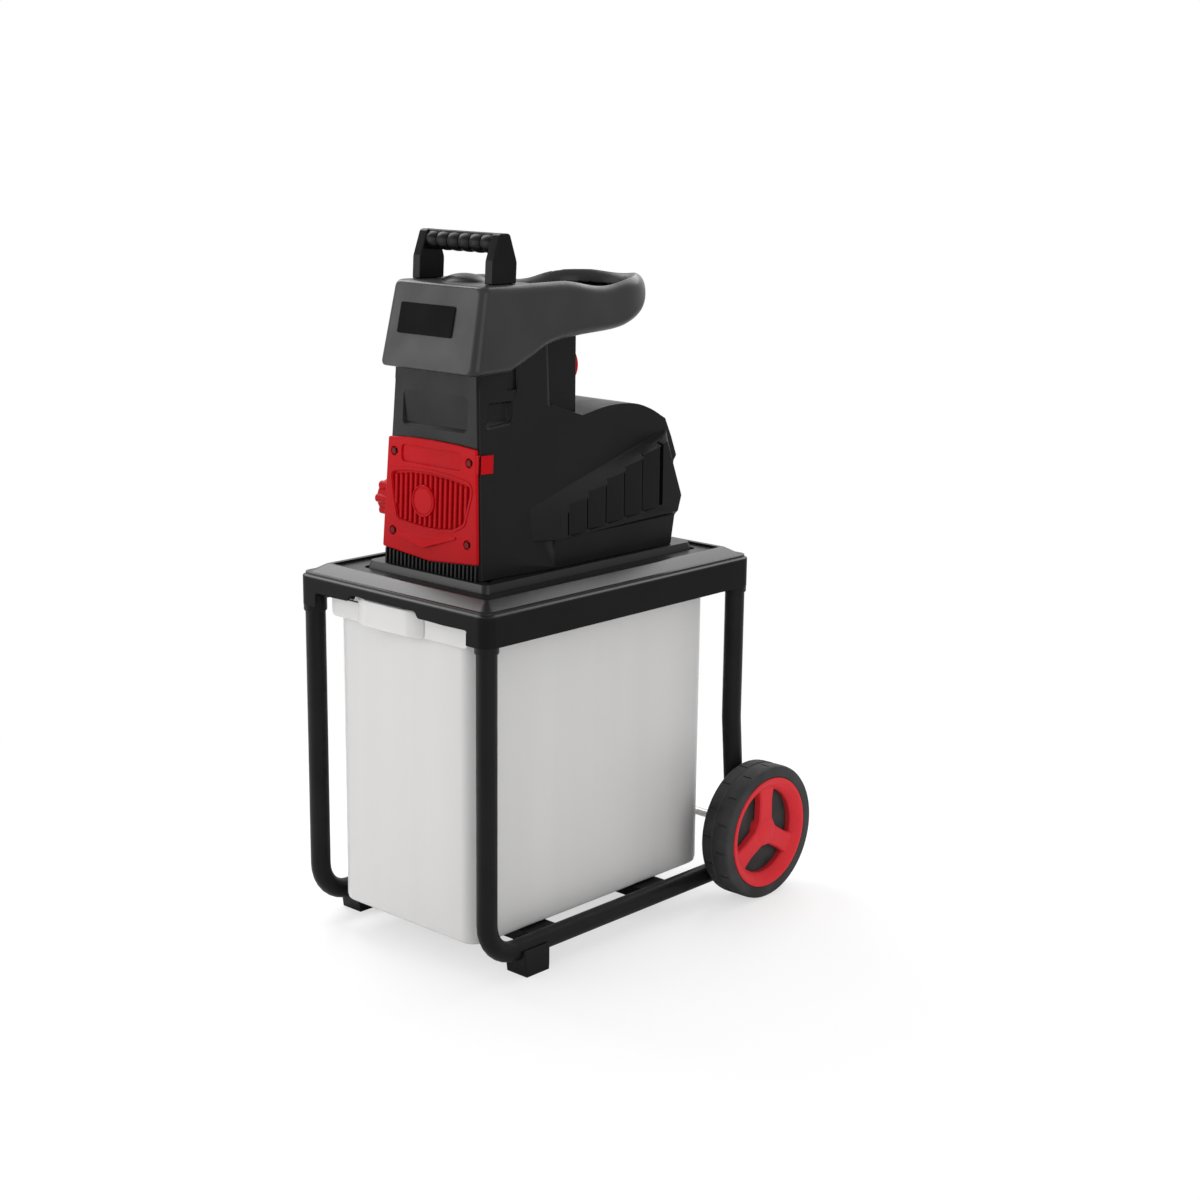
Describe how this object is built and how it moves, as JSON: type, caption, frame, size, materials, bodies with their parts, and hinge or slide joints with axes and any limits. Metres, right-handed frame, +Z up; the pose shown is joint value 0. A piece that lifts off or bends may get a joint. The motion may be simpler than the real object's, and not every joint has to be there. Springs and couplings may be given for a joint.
{
  "type": "garden shredder",
  "caption": "Garden shredder: a motor-driven cutting drum under a scoop hopper on a deck, with a wheeled tube frame and a pull-out catch box.",
  "frame": {"origin": "on the floor under the middle of the machine's own box", "axes": "+Z up, -Y to the front where the box pulls out, +Y to the wheels, +X to the right seen from the front"},
  "size_m": [0.47, 0.632, 0.9723],
  "materials": {
    "frame_paint": "satin",
    "black_plastic": "matte",
    "gloss_black": "gloss",
    "charcoal_plastic": "matte",
    "red_plastic": "satin",
    "green_plastic": "satin",
    "box_plastic": "satin",
    "tyre_rubber": "matte",
    "steel": "brushed",
    "cast": "cast",
    "copper": "varnished",
    "brass": "satin",
    "painted_can": "satin"
  },
  "bodies": {
    "chassis": {"left_frame_tube": "frame_paint", "right_frame_tube": "frame_paint", "front_cross_member": "frame_paint", "rear_cross_member": "frame_paint", "left_foot": "black_plastic", "right_foot": "black_plastic", "axle": "steel", "axle_washers": "steel", "leg_screws": "steel", "deck": "black_plastic", "left_housing": "black_plastic", "right_housing": "black_plastic", "front_cover": "red_plastic", "cover_screws": "steel", "hopper": "charcoal_plastic", "blank_plate": "gloss_black", "carry_handle": "gloss_black", "handle_screws": "steel", "feed_chute": "black_plastic", "control_box": "black_plastic", "power_inlet": "gloss_black", "inlet_pins": "brass", "switch_module": "black_plastic", "cutter_housing": "cast", "drum_bearings": "steel", "guide_pins": "steel", "gear_housing": "cast", "motor_bearings": "steel", "stator": "steel", "stator_winding": "copper", "motor_can": "painted_can", "rear_shield": "cast", "motor_cradle": "black_plastic", "run_capacitor": "painted_can"},
    "left_wheel": {"left_tyre": "tyre_rubber", "left_rim": "red_plastic"},
    "right_wheel": {"right_tyre": "tyre_rubber", "right_rim": "red_plastic"},
    "catch_box": {"catch_box": "box_plastic"},
    "adjuster": {"adjusting_screw": "steel", "adjusting_knob": "red_plastic"},
    "counter_plate": {"counter_plate": "cast"},
    "drum": {"drum": "steel", "drum_shaft": "steel", "drum_gear": "steel"},
    "countershaft": {"countershaft": "steel", "countershaft_gear": "steel"},
    "motor_rotor": {"motor_shaft": "steel", "rotor": "steel", "cooling_fan": "black_plastic"},
    "selector": {"selector_knob": "red_plastic"},
    "start_button": {"start_button": "green_plastic"},
    "stop_button": {"stop_button": "red_plastic"},
    "reset_button": {"reset_button": "black_plastic"}
  },
  "joints": [
    {"name": "left_wheel_spin", "type": "hinge", "parent": "chassis", "child": "left_wheel", "pos_m": [-0.209, 0.216, 0.1], "axis": [1, 0, 0], "continuous": true},
    {"name": "right_wheel_spin", "type": "hinge", "parent": "chassis", "child": "right_wheel", "pos_m": [0.209, 0.216, 0.1], "axis": [1, 0, 0], "continuous": true},
    {"name": "box_slide", "type": "slide", "parent": "chassis", "child": "catch_box", "axis": [0, -1, 0], "range_m": [0, 0.48]},
    {"name": "adjusting_turn", "type": "hinge", "parent": "chassis", "child": "adjuster", "pos_m": [-0.1, -0.195, 0.607], "axis": [1, 0, 0], "range_deg": [-360, 360]},
    {"name": "counter_plate_slide", "type": "slide", "parent": "chassis", "child": "counter_plate", "axis": [1, 0, 0], "range_m": [-0.0016, 0.0016]},
    {"name": "motor_spin", "type": "hinge", "parent": "chassis", "child": "motor_rotor", "pos_m": [0, 0, 0.62733], "axis": [0, 1, 0], "continuous": true},
    {"name": "countershaft_spin", "type": "hinge", "parent": "chassis", "child": "countershaft", "pos_m": [0.025, -0.09, 0.6735], "axis": [0, 1, 0], "continuous": true},
    {"name": "drum_spin", "type": "hinge", "parent": "chassis", "child": "drum", "pos_m": [-0.015, -0.168, 0.621], "axis": [0, 1, 0], "continuous": true},
    {"name": "selector_turn", "type": "hinge", "parent": "chassis", "child": "selector", "pos_m": [0.038, -0.03, 0.791], "axis": [0, 1, 0], "range_deg": [-45, 45]},
    {"name": "start_press", "type": "slide", "parent": "chassis", "child": "start_button", "axis": [0, -1, 0], "range_m": [0, 0.004], "stiffness_N_per_m": 400},
    {"name": "stop_press", "type": "slide", "parent": "chassis", "child": "stop_button", "axis": [0, -1, 0], "range_m": [0, 0.004], "stiffness_N_per_m": 400},
    {"name": "reset_press", "type": "slide", "parent": "chassis", "child": "reset_button", "axis": [0, -1, 0], "range_m": [0, 0.004], "stiffness_N_per_m": 400}
  ],
  "couplings": [
    {"joint": "counter_plate_slide", "follows": "adjusting_turn", "m_per_rad": 0.00023873},
    {"joint": "countershaft_spin", "follows": "motor_spin", "ratio": -0.16667},
    {"joint": "drum_spin", "follows": "motor_spin", "ratio": 0.037037}
  ]
}
